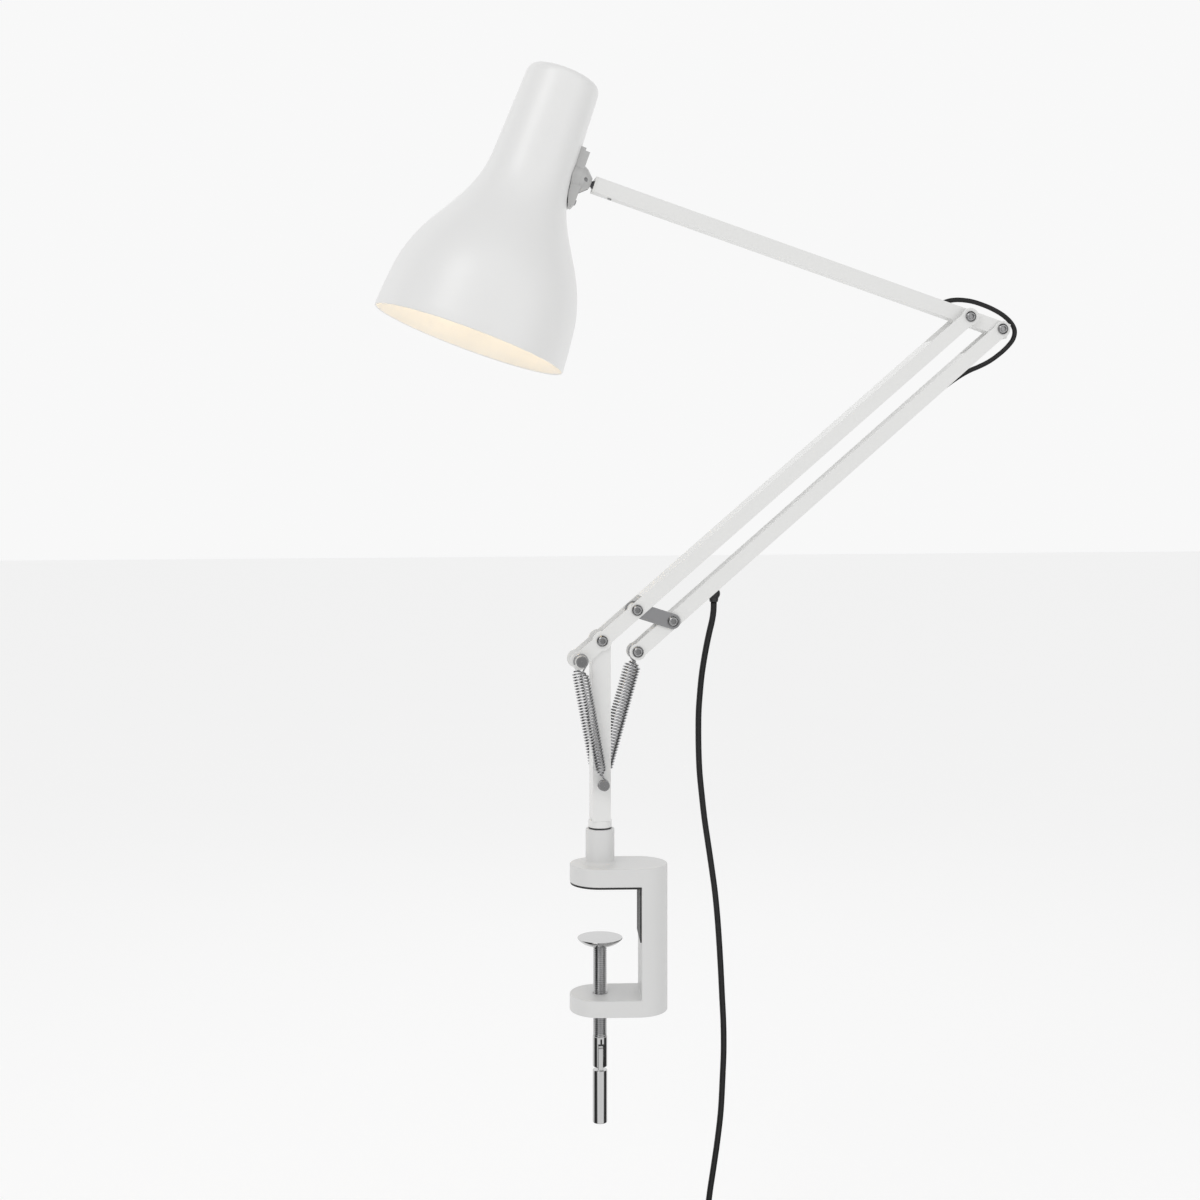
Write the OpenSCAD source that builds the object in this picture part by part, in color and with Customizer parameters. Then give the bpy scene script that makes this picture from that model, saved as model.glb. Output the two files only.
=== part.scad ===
// Spring-balanced swing arm desk lamp on a screw clamp, in millimetres.
// Origin: on the desk's top surface, where the clamp post's axis meets it.
// +Z is up, the two arms lie in the XZ plane and the elbow is on the +X side.
// Most pieces are drawn flat along their own axis and then placed on their pivot.

/* [Pose as stored] */
// How far the lower arm rises above level, in degrees
lower_rise = 40.4; // [35:0.1:46]
// How far the upper arm rises above level, in degrees
upper_rise = 17.8; // [12:0.1:24]
// How far the shade's axis leans from vertical, in degrees
shade_lean = 20; // [16:0.5:24]
// How far the clamp is turned about its post from the arms' plane, in degrees
clamp_turn = -7.5; // [-15:0.5:15]

/* [Arms] */
// Lower arm, from the stem pivot to the elbow
lower_len = 360; // [320:1:400]
// Upper arm, from the shade knuckle to the elbow
upper_len = 300; // [270:1:330]
// Length of the short link and of the upper arm's tail, pivot to pivot
link_len = 27.5; // [26:0.5:30]
// Distance of the link from the stem pivot, along the lower arm
link_up = 33; // [31:1:36]
// Length of the lower arm's tail, where the twin springs pull
tail_len = 21; // [19:0.5:22]
// Height of the folded arm sections
arm_h = 10.5; // [9.5:0.5:11]
// Thickness of the folded steel
sheet = 1.2; // [1:0.1:1.3]

/* [Stem] */
// Height of the stem pivot above the desk
pivot_z = 172.5; // [165:0.5:180]
// Height of the spring anchor pin above the desk
anchor_z = 72; // [66:1:76]
// Width of the stem, seen from the front
stem_w = 12.8; // [12:0.2:14]
// Depth of the stem, front to back
stem_d = 16; // [15.6:0.2:16]

/* [Clamp] */
// Radius of the clamp's rounded ends
clamp_r = 21.5; // [19:0.5:23]
// Distance between the centres of the clamp's two rounded ends
clamp_len = 26.4; // [24:0.2:30]
// Where the clamp's upright begins, from the post's axis
throat_x = 28.4; // [26:0.2:30]
// Height of the jaw opening under the upper jaw
jaw_gap = 77.7; // [70:0.1:85]
// Thickness of the lower jaw
lower_jaw_t = 11.8; // [10:0.2:14]
// Top of the upper jaw above the desk
upper_jaw_z = 14.2; // [12:0.2:16]
// Thickness of the desk top that the screw is closed on
desk_t = 38.5; // [30:0.5:50]

/* [Shade] */
// Length of the shade, cap edge to mouth
shade_len = 195; // [190:1:200]
// Radius of the shade at its mouth
mouth_r = 69.8; // [66:0.2:73]
// Radius of the shade's neck under the cap
neck_r = 27; // [26:0.5:28]
// Thickness of the spun aluminium
shade_t = 1.2; // [1:0.1:1.5]

/* [Springs] */
// Outside diameter of each of the twin springs
twin_od = 8.5; // [8:0.1:8.8]
// Outside diameter of the single spring in the stem
single_od = 12.8; // [12:0.1:12.9]
// Distance of each twin spring from the arms' plane
twin_y = 13.6; // [13.4:0.1:14]

/* [Cable] */
// Diameter of the supply cord
cord_d = 4.5; // [4:0.1:5]
// Diameter of the cable in the upper arm and round the elbow
inner_cable_d = 3.5; // [3:0.1:4]

/* [Hidden] */
$fn = 48;
eps = 0.01;
// depth layers, as distances from the arms' plane
stem_y = stem_d / 2;
lower_in = 8.4;
lower_out = lower_in + sheet;
link_in = 7.0;
link_out = link_in + sheet;
bar_in = 5.4;
bar_out = bar_in + sheet;
tube_y = 5.1;
// fasteners
bolt_r = 2.5;
hole_r = bolt_r;
run_r = bolt_r + 0.05;
head_r = 4.1;
head_h = 2.2;
nut_r = 4.2;
nut_h = 3;
// lobes round the pivots
lobe_r = 6.4;
web_end = lower_len - 34;
web_start = link_up + 9;
bar_len = lower_len;
bar_web_end = bar_len - 34;
tube_h = 11;
tube_end = upper_len + link_len + 5.5;
cap_x = 7;
slot_x = 276;
// the joints' places, as [x, z]
function dir(a) = [cos(a), sin(a)];
function at3(p) = [p[0], 0, p[1]];
pivot_o = [0, pivot_z];
anchor_n = [0, anchor_z];
elbow_p = pivot_o + lower_len * dir(lower_rise);
link_p = pivot_o + link_up * dir(lower_rise);
link_vec = link_len * dir(-upper_rise);
link_end_p = link_p + link_vec;
tail_p = elbow_p + link_vec;
bar_low_p = pivot_o + link_vec;
twin_p = pivot_o - tail_len * dir(lower_rise);
knuckle_p = elbow_p - upper_len * dir(-upper_rise);
// the shade's own frame: z up its axis from the cap edge, x towards the arm
knuckle_r = 38.2;
knuckle_t = 60.5;
bracket_screw_t = [45, 77];
shade_p = knuckle_p - knuckle_r * dir(-shade_lean) + knuckle_t * dir(90 - shade_lean);
// clamp screw
screw_r = 4.95;
screw_bore_r = 5;
pad_h = 6;
pad_r = 16;
screw_z = -desk_t - pad_h;
fork_z = -108;
fork_len = 22;
fork_r = 5.2;
fork_pin_z = fork_z - 9;
handle_top = -132.3;
handle_end = -169.5;
// stem foot
post_r = 10.25;
post_top = 39;
spigot_r = 5;
bush_r = 7;
bush_flange_t = 1;
foot_r = 8.35;
foot_z = post_top + bush_flange_t + 0.05;
foot_h = 5;
// lamp fittings, measured down from the cap edge
holder_r = 20;
holder_t = 6;
holder_len = 48;
bulb_r = 23;
bulb_t = 106;
// cord: centre points as [x, y, z], hung by hand
grommet_p = [83, 0, 204.5];
cord_route = [
    [83, 0, 198.5], [82.8, 0, 192], [82, 1, 185], [80.6, 3, 177], [79.2, 6, 167], [78.2, 10, 156],
    [77.4, 14, 144], [77.1, 18, 131], [77.1, 22, 117], [77.6, 25, 103], [78.5, 28, 87], [79.7, 30, 71],
    [81.6, 31, 54], [83.8, 31.5, 36], [86.6, 32, 18], [89.3, 32, 0], [91.8, 32, -18], [93.6, 32, -36],
    [95, 32, -55], [96.2, 32, -75], [97.2, 32, -95], [98.2, 32, -115], [98.4, 32, -135], [97.6, 32, -155],
    [96.2, 32, -180], [93.6, 32, -202], [90.6, 32, -222], [87.8, 32, -240], [86, 32, -256], [84.9, 32, -270],
    [84.4, 32, -283]];
coil_r = 26.5;
coil_w = 9.2;
coil_h = 18.4;
coil_p = [55.6, 36.6, -283];
tail_route = [
    [84.4, 36.6, -287], [84.5, 36.5, -295], [84.4, 36, -303], [84, 35.2, -311], [83.4, 34.6, -319],
    [82.9, 34.2, -327], [82.8, 34, -335]];
plug_p = [82.8, 34, -335];
loop_route = [
    [248, 411.8], [254.5, 415.6], [260.7, 418], [267, 418.9], [273.5, 418.7], [280.1, 417.7], [288, 415.4],
    [295.8, 412.3], [303.6, 408], [309.6, 402.6], [312.4, 397], [311.2, 390.6], [306.2, 384.4],
    [299.7, 378.8], [292, 373.6], [284.2, 369.8], [277, 366.8], [270, 363], [263.5, 358.8], [257.2, 354.4]];

// ---- shared shapes ----

// a rod along Y, from y0 to y1
module rod_y(r, y0, y1, n = 48) {
    translate([0, y0, 0])
        rotate([-90, 0, 0])
            cylinder(r = r, h = y1 - y0, $fn = n);
}

// the same rod in front and behind, from |y| = y0 to y1
module rods_y(r, y0, y1) {
    rod_y(r, y0, y1);
    rod_y(r, -y1, -y0);
}

// places a flat-drawn piece on a pivot, raised above level
module on_pivot(p, rise = 0) {
    translate(at3(p))
        rotate([0, -rise, 0])
            children();
}

// a button-head bolt across the arms, head to the front
module cross_bolt(p, reach) {
    color("silver")
        on_pivot(p)
            union() {
                rod_y(bolt_r, -reach, reach + nut_h + 1);
                rod_y(head_r, -reach - head_h, -reach);
            }
}

// the hexagon nut behind it
module cross_nut(p, reach) {
    color("silver")
        on_pivot(p)
            difference() {
                rod_y(nut_r, reach, reach + nut_h, 6);
                rod_y(bolt_r, reach - 1, reach + nut_h + 1);
            }
}

// a box given by its lowest and highest corner
module span(low, high) {
    translate(low)
        cube(high - low);
}

// a side plate with round ends, from x0 to x1, between |y| = y0 and y1
module side_plates(x0, x1, r0, r1, y0, y1, h = arm_h) {
    for (side = [-1, 1])
        translate([0, side < 0 ? -y1 : y0, 0])
            union() {
                span([x0, 0, -h / 2], [x1, y1 - y0, h / 2]);
                translate([x0, 0, 0])
                    rod_y(r0, 0, y1 - y0);
                translate([x1, 0, 0])
                    rod_y(r1, 0, y1 - y0);
            }
}

// a ribbed sleeve with the outside shape of a close-wound spring that narrows at both ends
function rib_r(s, od, wire) = od / 2 - wire * 0.3 * (1 - abs(sin(180 * s)));
function cone_part(z, len, c) = min(1, min(z, len - z) / c);
module coil_sleeve(len, od, wire, pitch, neck) {
    turns = floor(len / pitch);
    step = len / turns;
    cone = 4 * pitch;
    outer = [
        for (i = [0 : turns * 2])
            let (z = i * step / 2, k = cone_part(z, len, cone))
                [neck + (rib_r(i / 2, od, wire) - neck) * k, z]];
    inner = [
        [neck - wire, 0], [od / 2 - wire * 1.4, cone], [od / 2 - wire * 1.4, len - cone], [neck - wire, len]];
    rotate_extrude()
        polygon(concat(outer, [for (i = [3 : -1 : 0]) inner[i]]));
}

// an open hook that runs round a pin at the origin and ends in a shank up to height z
module hook(r, wire, z) {
    rotate([90, 0, 0])
        rotate([0, 0, 65])
            rotate_extrude(angle = 290)
                translate([r, 0])
                    circle(r = wire / 2, $fn = 24);
    translate([0, 0, r])
        cylinder(r = wire / 2, h = z - r, $fn = 24);
}

// a tube of one diameter swept along a list of points
function unit(v) = v / norm(v);
function along(p, i) = unit(p[min(i + 1, len(p) - 1)] - p[max(i - 1, 0)]);
function side_of(t) = unit(cross(t, [0, 1, 0.001]));
function ring(p, t, r, n) =
    let (a = side_of(t), b = cross(t, a))
        [for (k = [0 : n - 1]) p + r * (cos(360 * k / n) * a + sin(360 * k / n) * b)];
module tube(route, d, n) {
    last = len(route) - 1;
    points = [for (i = [0 : last]) each ring(route[i], along(route, i), d / 2, n)];
    walls = [
        for (i = [0 : last - 1], k = [0 : n - 1])
            [i * n + k, (i + 1) * n + k, (i + 1) * n + (k + 1) % n, i * n + (k + 1) % n]];
    ends = [[for (k = [0 : n - 1]) k], [for (k = [n - 1 : -1 : 0]) last * n + k]];
    polyhedron(points, concat(walls, ends));
}

// ---- clamp ----

module clamp_plan(r) {
    circle(r = r, $fn = 96);
    translate([clamp_len, 0])
        circle(r = r, $fn = 96);
    translate([0, -r])
        square([clamp_len, 2 * r]);
}

module clamp_frame() {
    floor_z = -jaw_gap - lower_jaw_t;
    color("lightgray")
        rotate([0, 0, clamp_turn])
            difference() {
                union() {
                    translate([0, 0, floor_z])
                        linear_extrude(upper_jaw_z - floor_z)
                            clamp_plan(clamp_r);
                    translate([0, 0, upper_jaw_z - eps])
                        cylinder(r1 = post_r + 1.6, r2 = post_r, h = 2);
                    cylinder(r = post_r, h = post_top);
                }
                span([-clamp_r - 1, -clamp_r - 1, -jaw_gap], [throat_x, clamp_r + 1, 1.4]);
                translate([0, 0, floor_z - 1])
                    cylinder(r = screw_bore_r, h = lower_jaw_t + 2);
                translate([0, 0, 8])
                    cylinder(r = bush_r, h = post_top);
            }
}

module jaw_pad() {
    color("black")
        rotate([0, 0, clamp_turn])
            union() {
                intersection() {
                    linear_extrude(1.4)
                        clamp_plan(clamp_r - 0.4);
                    span([-clamp_r, -clamp_r, 0], [throat_x, clamp_r, 1.4]);
                }
                span([throat_x - 1, -clamp_r + 3, -38], [throat_x, clamp_r - 3, 0.7]);
            }
}

module post_bush() {
    color("black")
        difference() {
            union() {
                translate([0, 0, 8])
                    cylinder(r = bush_r, h = post_top - 8);
                translate([0, 0, post_top])
                    cylinder(r = foot_r - 0.2, h = bush_flange_t);
            }
            translate([0, 0, 7])
                cylinder(r = spigot_r + 0.05, h = post_top);
        }
}

module screw_pad() {
    color("silver")
        difference() {
            translate([0, 0, screw_z])
                rotate_extrude()
                    polygon([
                        [0, 0], [6.5, 0], [9.5, 0.8], [12.6, 2.2], [15, 4], [pad_r, 5.4], [pad_r, pad_h],
                        [0, pad_h]]);
            translate([0, 0, screw_z - 1])
                cylinder(r = 3.05, h = 4.1);
        }
}

module clamp_screw() {
    color("silver")
        difference() {
            union() {
                translate([0, 0, screw_z - 0.1])
                    cylinder(r = 3, h = 3.1);
                translate([0, 0, fork_z])
                    cylinder(r = screw_r, h = screw_z - 0.1 - fork_z);
                translate([0, 0, fork_z - fork_len])
                    cylinder(r = fork_r, h = fork_len);
            }
            span([-2.1, -6, fork_z - fork_len - 1], [2.1, 6, fork_z - 5]);
            translate([-7, 0, fork_pin_z])
                rotate([0, 90, 0])
                    cylinder(r = 1.5, h = 14);
        }
}

module handle_pin() {
    color("gray")
        translate([-5, 0, fork_pin_z])
            rotate([0, 90, 0])
                cylinder(r = 1.5, h = 10);
}

module clamp_handle() {
    color("silver")
        difference() {
            union() {
                translate([0, 0, handle_end])
                    cylinder(r = fork_r, h = handle_top - handle_end);
                span([-1.8, -3.4, handle_top - eps], [1.8, 3.4, fork_pin_z]);
                translate([-1.8, 0, fork_pin_z])
                    rotate([0, 90, 0])
                        cylinder(r = 3.4, h = 3.6);
            }
            translate([-3, 0, fork_pin_z])
                rotate([0, 90, 0])
                    cylinder(r = 1.55, h = 6);
        }
}

// ---- stem ----

module stem_spigot() {
    color("white")
        union() {
            translate([0, 0, 10])
                cylinder(r = spigot_r, h = foot_z - 10);
            translate([0, 0, foot_z])
                cylinder(r = foot_r, h = foot_h);
        }
}

module stem_channel() {
    base = foot_z + foot_h;
    half = stem_w / 2;
    color("white")
        difference() {
            union() {
                span([-half, -stem_y, base], [half, stem_y, pivot_z]);
                on_pivot(pivot_o)
                    rod_y(lobe_r, -stem_y, stem_y);
            }
            span([-half + sheet, -stem_y + sheet, base + 6], [half + 1, stem_y - sheet, pivot_z + 10]);
            span([-half - 1, -stem_y + sheet, pivot_z - 12], [half + 1, stem_y - sheet, pivot_z + 10]);
            on_pivot(pivot_o)
                rod_y(run_r, -10, 10);
            on_pivot(anchor_n)
                rod_y(hole_r, -10, 10);
        }
}

module spring_anchor() {
    color("silver")
        on_pivot(anchor_n)
            union() {
                rod_y(bolt_r, -twin_y - 4, twin_y + 4);
                rods_y(3.8, twin_y + 3.2, twin_y + 5);
            }
}

twin_vec = twin_p - anchor_n;
twin_len = norm(twin_vec);
twin_lean = atan2(twin_vec[0], twin_vec[1]);
single_vec = bar_low_p - anchor_n;
single_len = norm(single_vec);
single_lean = atan2(single_vec[0], single_vec[1]);
twin_wire = 1.2;
twin_hook = 3.6;
twin_top_hook = 4.9;
coil_start = 8;
coil_stop = 8.5;
single_wire = 1.5;
single_hook = 3.8;
single_top_hook = 5.3;
single_split = 0.42 * single_len;

// stands a spring drawn up the z axis on the anchor, leaning towards its upper pin
module from_anchor(lean) {
    on_pivot(anchor_n, -lean)
        children();
}

module twin_spring(side) {
    color("gainsboro")
        translate([0, side * twin_y, 0])
            from_anchor(twin_lean)
                union() {
                    hook(twin_hook, twin_wire, coil_start + 1);
                    translate([0, 0, coil_start])
                        coil_sleeve(twin_len - coil_start - coil_stop, twin_od, twin_wire, 2.1, 2.2);
                }
}

module twin_spring_front() {
    twin_spring(-1);
}

module twin_spring_rear() {
    twin_spring(1);
}

module twin_spring_hooks() {
    color("gainsboro")
        for (side = [-1, 1])
            translate([0, side * twin_y, 0])
                from_anchor(twin_lean)
                    translate([0, 0, twin_len])
                        rotate([180, 0, 0])
                            hook(twin_top_hook, twin_wire, coil_stop - 0.1);
}

module single_coil() {
    translate([0, 0, coil_start])
        coil_sleeve(single_len - coil_start - coil_stop, single_od, single_wire, 2.1, 2.6);
}

module single_spring() {
    color("gainsboro")
        from_anchor(single_lean)
            union() {
                translate([0, 0, single_len])
                    rotate([180, 0, 0])
                        hook(single_top_hook, single_wire, coil_stop + 1);
                difference() {
                    single_coil();
                    translate([0, 0, -1])
                        cylinder(r = single_od, h = single_split + 1.1);
                }
            }
}

module single_spring_lower() {
    color("gainsboro")
        from_anchor(single_lean)
            difference() {
                single_coil();
                translate([0, 0, single_split - 0.1])
                    cylinder(r = single_od, h = single_len);
            }
}

module single_spring_foot() {
    color("gainsboro")
        from_anchor(single_lean)
            hook(single_hook, single_wire, coil_start - 0.1);
}

// ---- lower arm ----

module lower_arm_channel() {
    color("white")
        on_pivot(pivot_o, lower_rise)
            difference() {
                union() {
                    side_plates(-tail_len, lower_len, lobe_r, lobe_r, lower_in, lower_out);
                    rods_y(lobe_r + 0.6, lower_in, lower_out);
                    span([web_start, -lower_out, arm_h / 2 - sheet], [web_end, lower_out, arm_h / 2]);
                }
                for (x = [0, link_up, lower_len])
                    translate([x, 0, 0])
                        rod_y(hole_r, -12, 12);
            }
}

module stem_pivot_bolt() {
    cross_bolt(pivot_o, lower_out);
}

module stem_pivot_nut() {
    cross_nut(pivot_o, lower_out);
}

module tail_studs() {
    color("silver")
        on_pivot(twin_p)
            union() {
                rods_y(bolt_r, lower_out, 18.4);
                rods_y(head_r, 17.2, 19);
            }
}

module tail_bushes() {
    color("ivory")
        on_pivot(twin_p)
            difference() {
                rods_y(head_r, 10.2, 17.2);
                rod_y(bolt_r, -20, 20);
            }
}

module elbow_bolt() {
    cross_bolt(elbow_p, lower_out + 0.05);
}

module elbow_nut() {
    cross_nut(elbow_p, lower_out + 0.05);
}

module elbow_spacers() {
    color("ivory")
        on_pivot(elbow_p)
            difference() {
                rods_y(4.5, tube_y + 0.05, lower_in - 0.05);
                rod_y(bolt_r, -12, 12);
            }
}

// ---- link ----

module link_bolt() {
    cross_bolt(link_p, lower_out + 0.05);
}

module link_nut() {
    cross_nut(link_p, lower_out + 0.05);
}

module link_spacer() {
    color("ivory")
        on_pivot(link_p)
            difference() {
                rod_y(4.2, -link_in + 0.05, link_in - 0.05);
                rod_y(bolt_r, -12, 12);
            }
}

module link_plates() {
    color("gray")
        on_pivot(link_p, -upper_rise)
            difference() {
                side_plates(0, link_len, 5.4, 5.4, link_in, link_out, 10.8);
                rod_y(run_r, -12, 12);
                translate([link_len, 0, 0])
                    rod_y(hole_r, -12, 12);
            }
}

module link_end_bolt() {
    cross_bolt(link_end_p, link_out);
}

module link_end_nut() {
    cross_nut(link_end_p, link_out);
}

// ---- parallel bar ----

module parallel_bar() {
    color("white")
        on_pivot(bar_low_p, lower_rise)
            difference() {
                union() {
                    side_plates(0, bar_len, 6, 6, bar_in, bar_out);
                    span([16, -bar_out, arm_h / 2 - sheet], [bar_web_end, bar_out, arm_h / 2]);
                }
                rod_y(hole_r, -12, 12);
                for (x = [link_up, bar_len])
                    translate([x, 0, 0])
                        rod_y(run_r, -12, 12);
            }
}

module arm_tail_bolt() {
    cross_bolt(tail_p, bar_out + 0.05);
}

module arm_tail_nut() {
    cross_nut(tail_p, bar_out + 0.05);
}

module spring_bolt() {
    cross_bolt(bar_low_p, bar_out);
}

module spring_nut() {
    cross_nut(bar_low_p, bar_out);
}

module spring_bush() {
    color("ivory")
        on_pivot(bar_low_p)
            difference() {
                rod_y(4.2, -bar_in + 0.1, bar_in - 0.1);
                rod_y(bolt_r, -12, 12);
            }
}

// ---- upper arm ----

module upper_arm_tube() {
    color("white")
        on_pivot(knuckle_p, -upper_rise)
            difference() {
                span([cap_x + 1.5, -tube_y, -tube_h / 2], [tube_end, tube_y, tube_h / 2]);
                span(
                    [cap_x, -tube_y + sheet, -tube_h / 2 + sheet],
                    [tube_end + 1, tube_y - sheet, tube_h / 2 - sheet]);
                span([slot_x - 10, -2.6, 0], [slot_x + 9, 2.6, tube_h]);
                translate([upper_len, 0, 0])
                    rod_y(run_r, -12, 12);
                translate([upper_len + link_len, 0, 0])
                    rod_y(run_r, -12, 12);
                translate([21, 0, -tube_h])
                    cylinder(r = 1.5, h = tube_h);
            }
}

module arm_end_cap() {
    inner_y = tube_y - sheet;
    inner_z = tube_h / 2 - sheet;
    color("white")
        on_pivot(knuckle_p, -upper_rise)
            difference() {
                union() {
                    span([cap_x, -tube_y, -tube_h / 2], [cap_x + 1.5, tube_y, tube_h / 2]);
                    span([cap_x + 1.5, -inner_y, -inner_z], [34, inner_y, inner_z]);
                }
                translate([cap_x - 1, 0, 0])
                    rotate([0, 90, 0])
                        cylinder(r = 3.05, h = 40);
                translate([21, 0, -tube_h])
                    cylinder(r = 1.5, h = tube_h);
            }
}

module grub_screw() {
    color("silver")
        on_pivot(knuckle_p, -upper_rise)
            translate([21, 0, -tube_h / 2 - 0.9])
                cylinder(r = 1.5, h = 3.3);
}

module arm_cable() {
    color("black")
        on_pivot(knuckle_p, -upper_rise)
            translate([34.1, 0, 0])
                rotate([0, 90, 0])
                    cylinder(r = inner_cable_d / 2, h = slot_x - 24 - 34);
}

module elbow_cable() {
    color("black")
        tube([for (p = loop_route) [p[0], 0, p[1]]], inner_cable_d, 8);
}

module bar_cable() {
    color("black")
        on_pivot(bar_low_p, lower_rise)
            translate([73.5, 0, -1])
                rotate([0, 90, 0])
                    cylinder(r = inner_cable_d / 2, h = 226.5);
}

// ---- shade head ----

// places a piece drawn in the shade's own frame
module in_shade() {
    translate(at3(shade_p))
        rotate([0, shade_lean, 0])
            children();
}

// the bell's outline below the neck, a cubic curve from the neck's foot to the skirt
neck_foot = [29.4, 62];
skirt_top = [67, 162];
pull_a = [31, 105];
pull_b = [60, 118];
function bell(s) =
    pow(1 - s, 3) * neck_foot + 3 * pow(1 - s, 2) * s * pull_a + 3 * (1 - s) * s * s * pull_b
    + pow(s, 3) * skirt_top;
function outline(inset) = [
    [neck_r - inset, 3],
    for (i = [0 : 16]) bell(i / 16) - [inset, 0],
    [68.7 - inset, 178],
    [mouth_r - inset, shade_len]];
// the cap: a flat dome with a rounded edge
cap_rise = 6.2;
function cap_point(a, inset) = [neck_r - 4 + (4 - inset) * sin(a), 3 - (7.4 - inset) * cos(a)];
function cap(inset) = concat([[0, -cap_rise + inset]], [for (a = [0 : 15 : 75]) cap_point(a, inset)]);
function flip(points) = [for (p = points) [p[0], -p[1]]];

module shade_shell() {
    inner = concat(cap(shade_t), outline(shade_t));
    color("white")
        in_shade()
            difference() {
                rotate_extrude($fn = 128)
                    polygon(flip(concat(cap(0), outline(0), [for (i = [len(inner) - 1 : -1 : 0]) inner[i]])));
                span([-6.6, -10.6, -2], [6.6, 10.6, 12]);
                translate([25, 0, -knuckle_t])
                    rotate([0, 90, 0])
                        cylinder(r = 4, h = 8);
            }
}

module shade_bracket() {
    color("darkgray")
        in_shade()
            difference() {
                union() {
                    span([20, -9, -83.5], [31, 9, -39.5]);
                    span([30, -9, -82], [34.4, 9, -41.5]);
                    span([34, -9, -81], [36.4, 9, -66]);
                    translate([24, 0, -knuckle_t])
                        rotate([0, 90, 0])
                            cylinder(r = 11, h = 10);
                    translate([33.5, 0, -knuckle_t])
                        rotate([0, 90, 0])
                            cylinder(r1 = 11, r2 = 9, h = 4.5);
                    translate([37.5, 0, -knuckle_t])
                        rotate([0, 90, 0])
                            cylinder(r1 = 9.3, r2 = 4.5, h = 5.4);
                }
                // the neck's outline with a little room
                rotate_extrude($fn = 96)
                    polygon([[0, -30], [27.9, -30], [29.7, -62], [31, -74], [34.9, -88], [0, -88]]);
                span([33, -2.5, -knuckle_t - 12], [50, 2.5, -knuckle_t + 12]);
                translate([knuckle_r, 0, -knuckle_t])
                    rod_y(1.5, -12, 12);
                for (t = bracket_screw_t)
                    translate([20, 0, -t])
                        rotate([0, 90, 0])
                            cylinder(r = 2, h = 30);
            }
}

module bracket_screws() {
    color("silver")
        in_shade()
            for (t = bracket_screw_t)
                translate([t < knuckle_t ? 29.6 : 33.4, 0, -t])
                    rotate([0, 90, 0])
                        cylinder(r = 2, h = 4.4);
}

module tilt_pin() {
    color("silver")
        in_shade()
            translate([knuckle_r, 0, -knuckle_t])
                rod_y(1.5, -7.6, 7.6);
}

module knuckle() {
    color("dimgray")
        on_pivot(knuckle_p, -upper_rise)
            difference() {
                union() {
                    rod_y(4.6, -2.3, 2.3);
                    rotate([0, 90, 0])
                        cylinder(r = 2.3, h = cap_x);
                    translate([cap_x - 1, 0, 0])
                        rotate([0, 90, 0])
                            cylinder(r = 3, h = 27);
                }
                rod_y(1.55, -4, 4);
            }
}

module lampholder() {
    color("white")
        in_shade()
            difference() {
                translate([0, 0, -holder_t - holder_len])
                    cylinder(r = holder_r, h = holder_len);
                translate([0, 0, -holder_t - holder_len - 1])
                    cylinder(r = 13.4, h = holder_len - 9);
            }
}

module lampholder_ring() {
    color("white")
        in_shade()
            difference() {
                translate([0, 0, -holder_t - holder_len + 8])
                    cylinder(r = 25.6, h = 5);
                translate([0, 0, -holder_t - holder_len])
                    cylinder(r = holder_r, h = 30);
            }
}

module bulb() {
    color("ivory")
        in_shade()
            rotate_extrude()
                polygon(concat(
                    [[0, -20], [6, -20], [13, -24], [13, -55], [16, -74]],
                    [for (a = [40 : -10 : -90]) [bulb_r * cos(a), -bulb_t + bulb_r * sin(a)]]));
}

module switch_body() {
    color("dimgray")
        in_shade()
            difference() {
                span([-6.6, -10.6, -5.9], [6.6, 10.6, 4.7]);
                span([-5, -9, -1.5], [5, 9, 6]);
            }
}

module switch_rocker() {
    color("dimgray")
        in_shade()
            union() {
                span([-4.6, -8, 2.6], [4.6, 8, 4.9]);
                span([-4.6, -3, -0.4], [4.6, 3, 3]);
            }
}

// ---- supply cord ----

module cord_grommet() {
    color("black")
        translate(grommet_p)
            union() {
                sphere(r = 4.6);
                translate([0, 0, -6])
                    cylinder(r1 = 2.9, r2 = 4, h = 6);
            }
}

module cord() {
    color("black")
        tube(cord_route, cord_d, 10);
}

// an upright rectangle with round corners
module rounded_plan(w, h, r) {
    square([w, h - 2 * r], center = true);
    square([w - 2 * r, h], center = true);
    for (x = [-1, 1], y = [-1, 1])
        translate([x * (w / 2 - r), y * (h / 2 - r)])
            circle(r = r);
}

module cord_coil() {
    color("black")
        translate(coil_p)
            rotate([90, 0, 0])
                rotate_extrude($fn = 64)
                    translate([coil_r, 0])
                        rounded_plan(coil_w, coil_h, 2.2);
}

module cord_tail() {
    color("black")
        tube(tail_route, cord_d, 10);
}

module coil_tie() {
    color("black")
        translate(coil_p + [-coil_r, 0, -3])
            linear_extrude(6)
                difference() {
                    rounded_plan(coil_w + 2.8, coil_h + 2.8, 3.4);
                    rounded_plan(coil_w + 0.9, coil_h + 0.9, 2.4);
                }
}

module plug_body() {
    color("black")
        translate(plug_p)
            union() {
                translate([0, 0, -14])
                    cylinder(r1 = 5, r2 = 3, h = 14);
                translate([0, 0, -42])
                    linear_extrude(28)
                        union() {
                            for (x = [-9.5, 9.5])
                                translate([x, 0])
                                    circle(r = 7);
                            square([19, 14], center = true);
                        }
            }
}

module plug_pins() {
    color("silver")
        translate(plug_p)
            for (x = [-9.5, 9.5])
                translate([x, 0, -61])
                    cylinder(r = 2.4, h = 19);
}

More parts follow.
